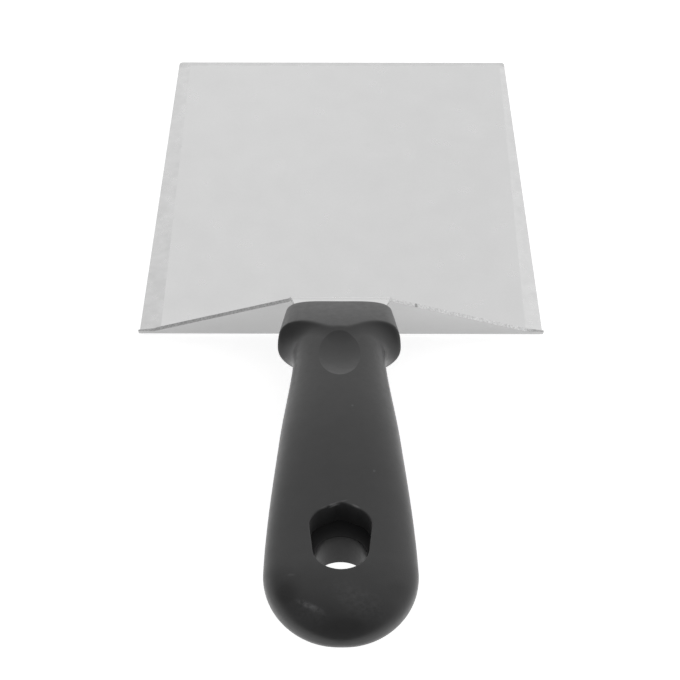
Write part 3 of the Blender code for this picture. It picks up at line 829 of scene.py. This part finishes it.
def black_plastic(name, brightness, ior):
    """Moulded plastic, mottled and scuffed, with a painted highlight on the pocket's lip and painted shade
    over the butt; the lighter marks are broken up.
    """
    made, tree, shader, at = started(name, metallic=0.0)
    level = mottled(tree, at, 0.9, 1.12, scale=240.0, detail=4.0, roughness=0.6)
    broken = mottled(tree, at, 0.0, 1.0, scale=900.0, detail=3.0, roughness=0.65, low=0.33, high=0.65)
    for place, angle, reach, change in SCUFFS_HIGHLIGHT_AND_SHADE:
        mark = spot(tree, at, place, angle, reach)
        if change > 0:
            mark = maths(tree, "MULTIPLY", mark, broken)
        level = maths(tree, "ADD", level, maths(tree, "MULTIPLY", mark, change))
    coloured(tree, shader, (brightness, brightness, brightness * 1.02), level)
    shader.inputs["IOR"].default_value = ior
    shader.inputs["Sheen Weight"].default_value = 0.08
    shader.inputs["Sheen Roughness"].default_value = 0.4
    rough = mottled(tree, at, 0.30, 0.39, scale=700.0, detail=3.0)
    tree.links.new(rough, shader.inputs["Roughness"])
    bump(tree, shader, noise(tree, at, scale=3600.0, detail=2.0), distance=0.000012)
    return made


# Floor, light and camera

FLOOR_REACH = 3.0
FLOOR_DROP = 0.00005  # below the plane that the blade rests on
FLOOR_LIT = 0.95
FLOOR_GLOW = 0.68
# Dimmer parts of the studio: direction, where the dimming starts and ends by the cosine to it, how much
DIM_PARTS = ((Vector((-0.1, -0.62, 0.78)).normalized(), 0.0, 0.8, 0.66),
             (Vector((-0.75, 0.38, 0.55)).normalized(), 0.86, 0.97, 0.52),
             (Vector((0.03, 0.87, 0.5)).normalized(), 0.80, 0.97, 0.13))
DIM_HEIGHTS = (0.05, 0.35)  # the dimming fades in between these heights over the horizon

CAMERA_PLACE = (0.0004576, -0.2929114, 0.2532552)
CAMERA_PITCH = 0.8358
CAMERA_YAW = 0.0031
CAMERA_ROLL = -0.0004
FOCAL_PIXELS = 1255.0
FRAME_PIXELS = 680.0


def white_floor():
    """A floor that takes shadows and looks white."""
    grid = bmesh.new()
    bmesh.ops.create_grid(grid, x_segments=8, y_segments=8, size=FLOOR_REACH)
    bmesh.ops.translate(grid, verts=grid.verts, vec=(0.0, 0.0, -FLOOR_DROP))
    mesh = bpy.data.meshes.new("floor")
    grid.to_mesh(mesh)
    grid.free()
    made = bpy.data.materials.new("white_floor")
    made.use_nodes = True
    tree = made.node_tree
    tree.nodes.clear()
    path = add(tree, "ShaderNodeLightPath").outputs
    seen = maths(tree, "MAXIMUM", path["Is Camera Ray"], path["Is Glossy Ray"])
    seen = maths(tree, "MAXIMUM", seen, path["Is Transmission Ray"])
    lit = add(tree, "ShaderNodeBsdfDiffuse", {"Color": (FLOOR_LIT, FLOOR_LIT, FLOOR_LIT, 1.0)})
    glow = add(tree, "ShaderNodeEmission", {"Color": (1.0, 1.0, 1.0, 1.0),
                                           "Strength": maths(tree, "MULTIPLY", seen, FLOOR_GLOW)})
    both = add(tree, "ShaderNodeAddShader", {0: lit.outputs["BSDF"], 1: glow.outputs["Emission"]})
    output = add(tree, "ShaderNodeOutputMaterial")
    tree.links.new(both.outputs["Shader"], output.inputs["Surface"])
    mesh.materials.append(made)
    floor = bpy.data.objects.new("floor", mesh)
    bpy.context.scene.collection.objects.link(floor)
    return floor


def studio():
    """White all round, but for three dimmer parts: behind the camera, at the left and far ahead."""
    world = bpy.data.worlds.new("studio")
    world.use_nodes = True
    tree = world.node_tree
    background = tree.nodes["Background"]
    heading = add(tree, "ShaderNodeTexCoord").outputs["Generated"]
    high = ranged(tree, axes(tree, heading)["Z"], *DIM_HEIGHTS, 0.0, 1.0, "SMOOTHSTEP")
    level = 1.0
    for direction, start, end, dimming in DIM_PARTS:
        toward = add(tree, "ShaderNodeVectorMath", {0: heading, 1: direction}, operation="DOT_PRODUCT")
        dark = ranged(tree, toward.outputs["Value"], start, end, 0.0, dimming, "SMOOTHSTEP")
        lit = maths(tree, "SUBTRACT", 1.0, maths(tree, "MULTIPLY", dark, high))
        level = maths(tree, "MULTIPLY", lit, level)
    background.inputs["Color"].default_value = (1.0, 1.0, 1.0, 1.0)
    tree.links.new(level, background.inputs["Strength"])
    bpy.context.scene.world = world


def camera():
    lens = bpy.data.cameras.new("camera")
    lens.sensor_width = 36.0
    lens.lens = FOCAL_PIXELS / FRAME_PIXELS * lens.sensor_width
    lens.clip_start = 0.01
    lens.clip_end = 20.0
    holder = bpy.data.objects.new("camera", lens)
    turn = (Matrix.Rotation(CAMERA_YAW, 4, "Z") @ Matrix.Rotation(math.pi / 2 - CAMERA_PITCH, 4, "X")
            @ Matrix.Rotation(CAMERA_ROLL, 4, "Z"))
    holder.matrix_world = Matrix.Translation(CAMERA_PLACE) @ turn
    bpy.context.scene.collection.objects.link(holder)
    bpy.context.scene.camera = holder


# The top face is painted darker toward the right; the outer face and underside are the same steel painted
# darker, as painted shade, darker still at the wall's foot and lighter at the right
blade = build_blade((satin_steel("satin_steel", 0.79, painted_shading_at_right=0.972), steel_ground(), steel_cut(),
                     satin_steel("outer_steel_painted_shade", 0.491, painted_shade_at_foot=0.90, painted_shading_at_right=1.07)))
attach(blade, "root")
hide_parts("blade")

# The hole's copies of the same plastic hold painted light and shade: the pocket wall painted lighter with a
# weaker reflection, the ledge given a weaker reflection as painted shade, and the bore painted darker
handle = build_handle((black_plastic("moulded_black", 0.022, ior=1.52),
                       black_plastic("pocket_black_painted_light", 0.052, ior=1.15),
                       black_plastic("ledge_black_painted_shade", 0.028, ior=1.15),
                       black_plastic("bore_black_painted_shade", 0.008, ior=1.38)))
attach(handle, "root")
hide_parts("handle")

white_floor()
studio()
camera()
bpy.context.scene.view_settings.view_transform = "Standard"
